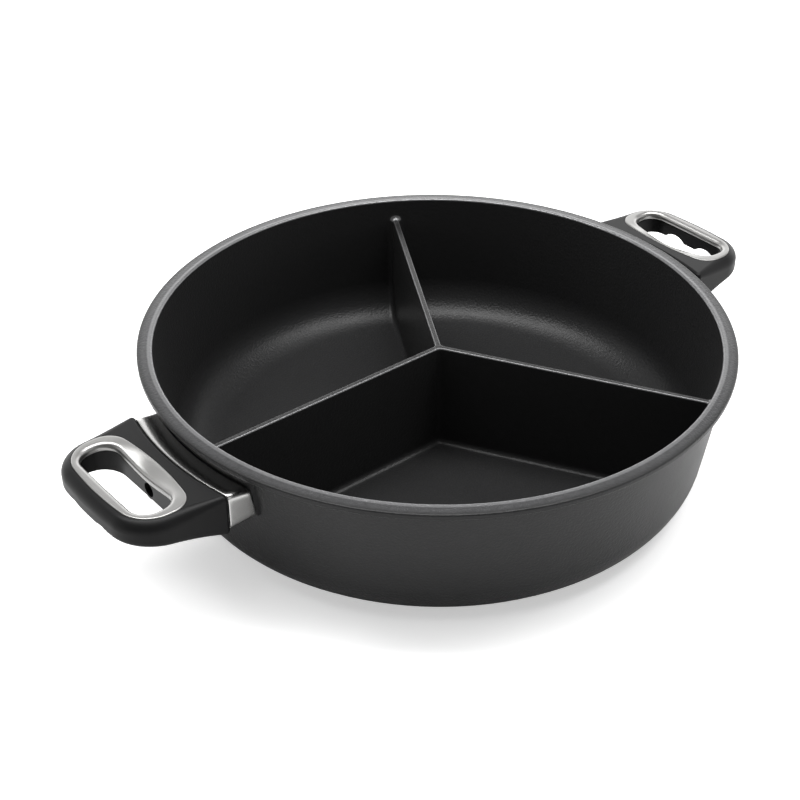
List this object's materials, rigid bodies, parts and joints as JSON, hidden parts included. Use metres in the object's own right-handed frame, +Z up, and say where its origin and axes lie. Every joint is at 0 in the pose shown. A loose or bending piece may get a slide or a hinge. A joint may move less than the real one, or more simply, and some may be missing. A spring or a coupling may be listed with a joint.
{
  "type": "divided frying pan",
  "caption": "Round cast frying pan with radial divider walls that make separate cooking compartments, and a loop handle with a steel guard on each side.",
  "frame": {"origin": "centre of the sole's underside, where the pan stands on the hob", "axes": "+Z up; +X from the pan's centre towards the right handle, with one divider wall along -X towards the left handle; +Y towards the rear rim"},
  "size_m": [0.3914, 0.292, 0.0735],
  "materials": {
    "coated_casting": "black non-stick coat, satin with a fine grain",
    "grip_plastic": "black moulded phenolic, satin",
    "ring_steel": "satin",
    "guard_steel": "polished",
    "fastener_steel": "plain"
  },
  "bodies": {
    "root": {"pan_body": "coated_casting", "right_grip": "grip_plastic", "right_trim_ring": "ring_steel", "right_flame_guard": "guard_steel", "right_handle_screw": "fastener_steel", "right_lock_washer": "fastener_steel", "left_grip": "grip_plastic", "left_trim_ring": "ring_steel", "left_flame_guard": "guard_steel", "left_handle_screw": "fastener_steel", "left_lock_washer": "fastener_steel"}
  },
  "joints": []
}
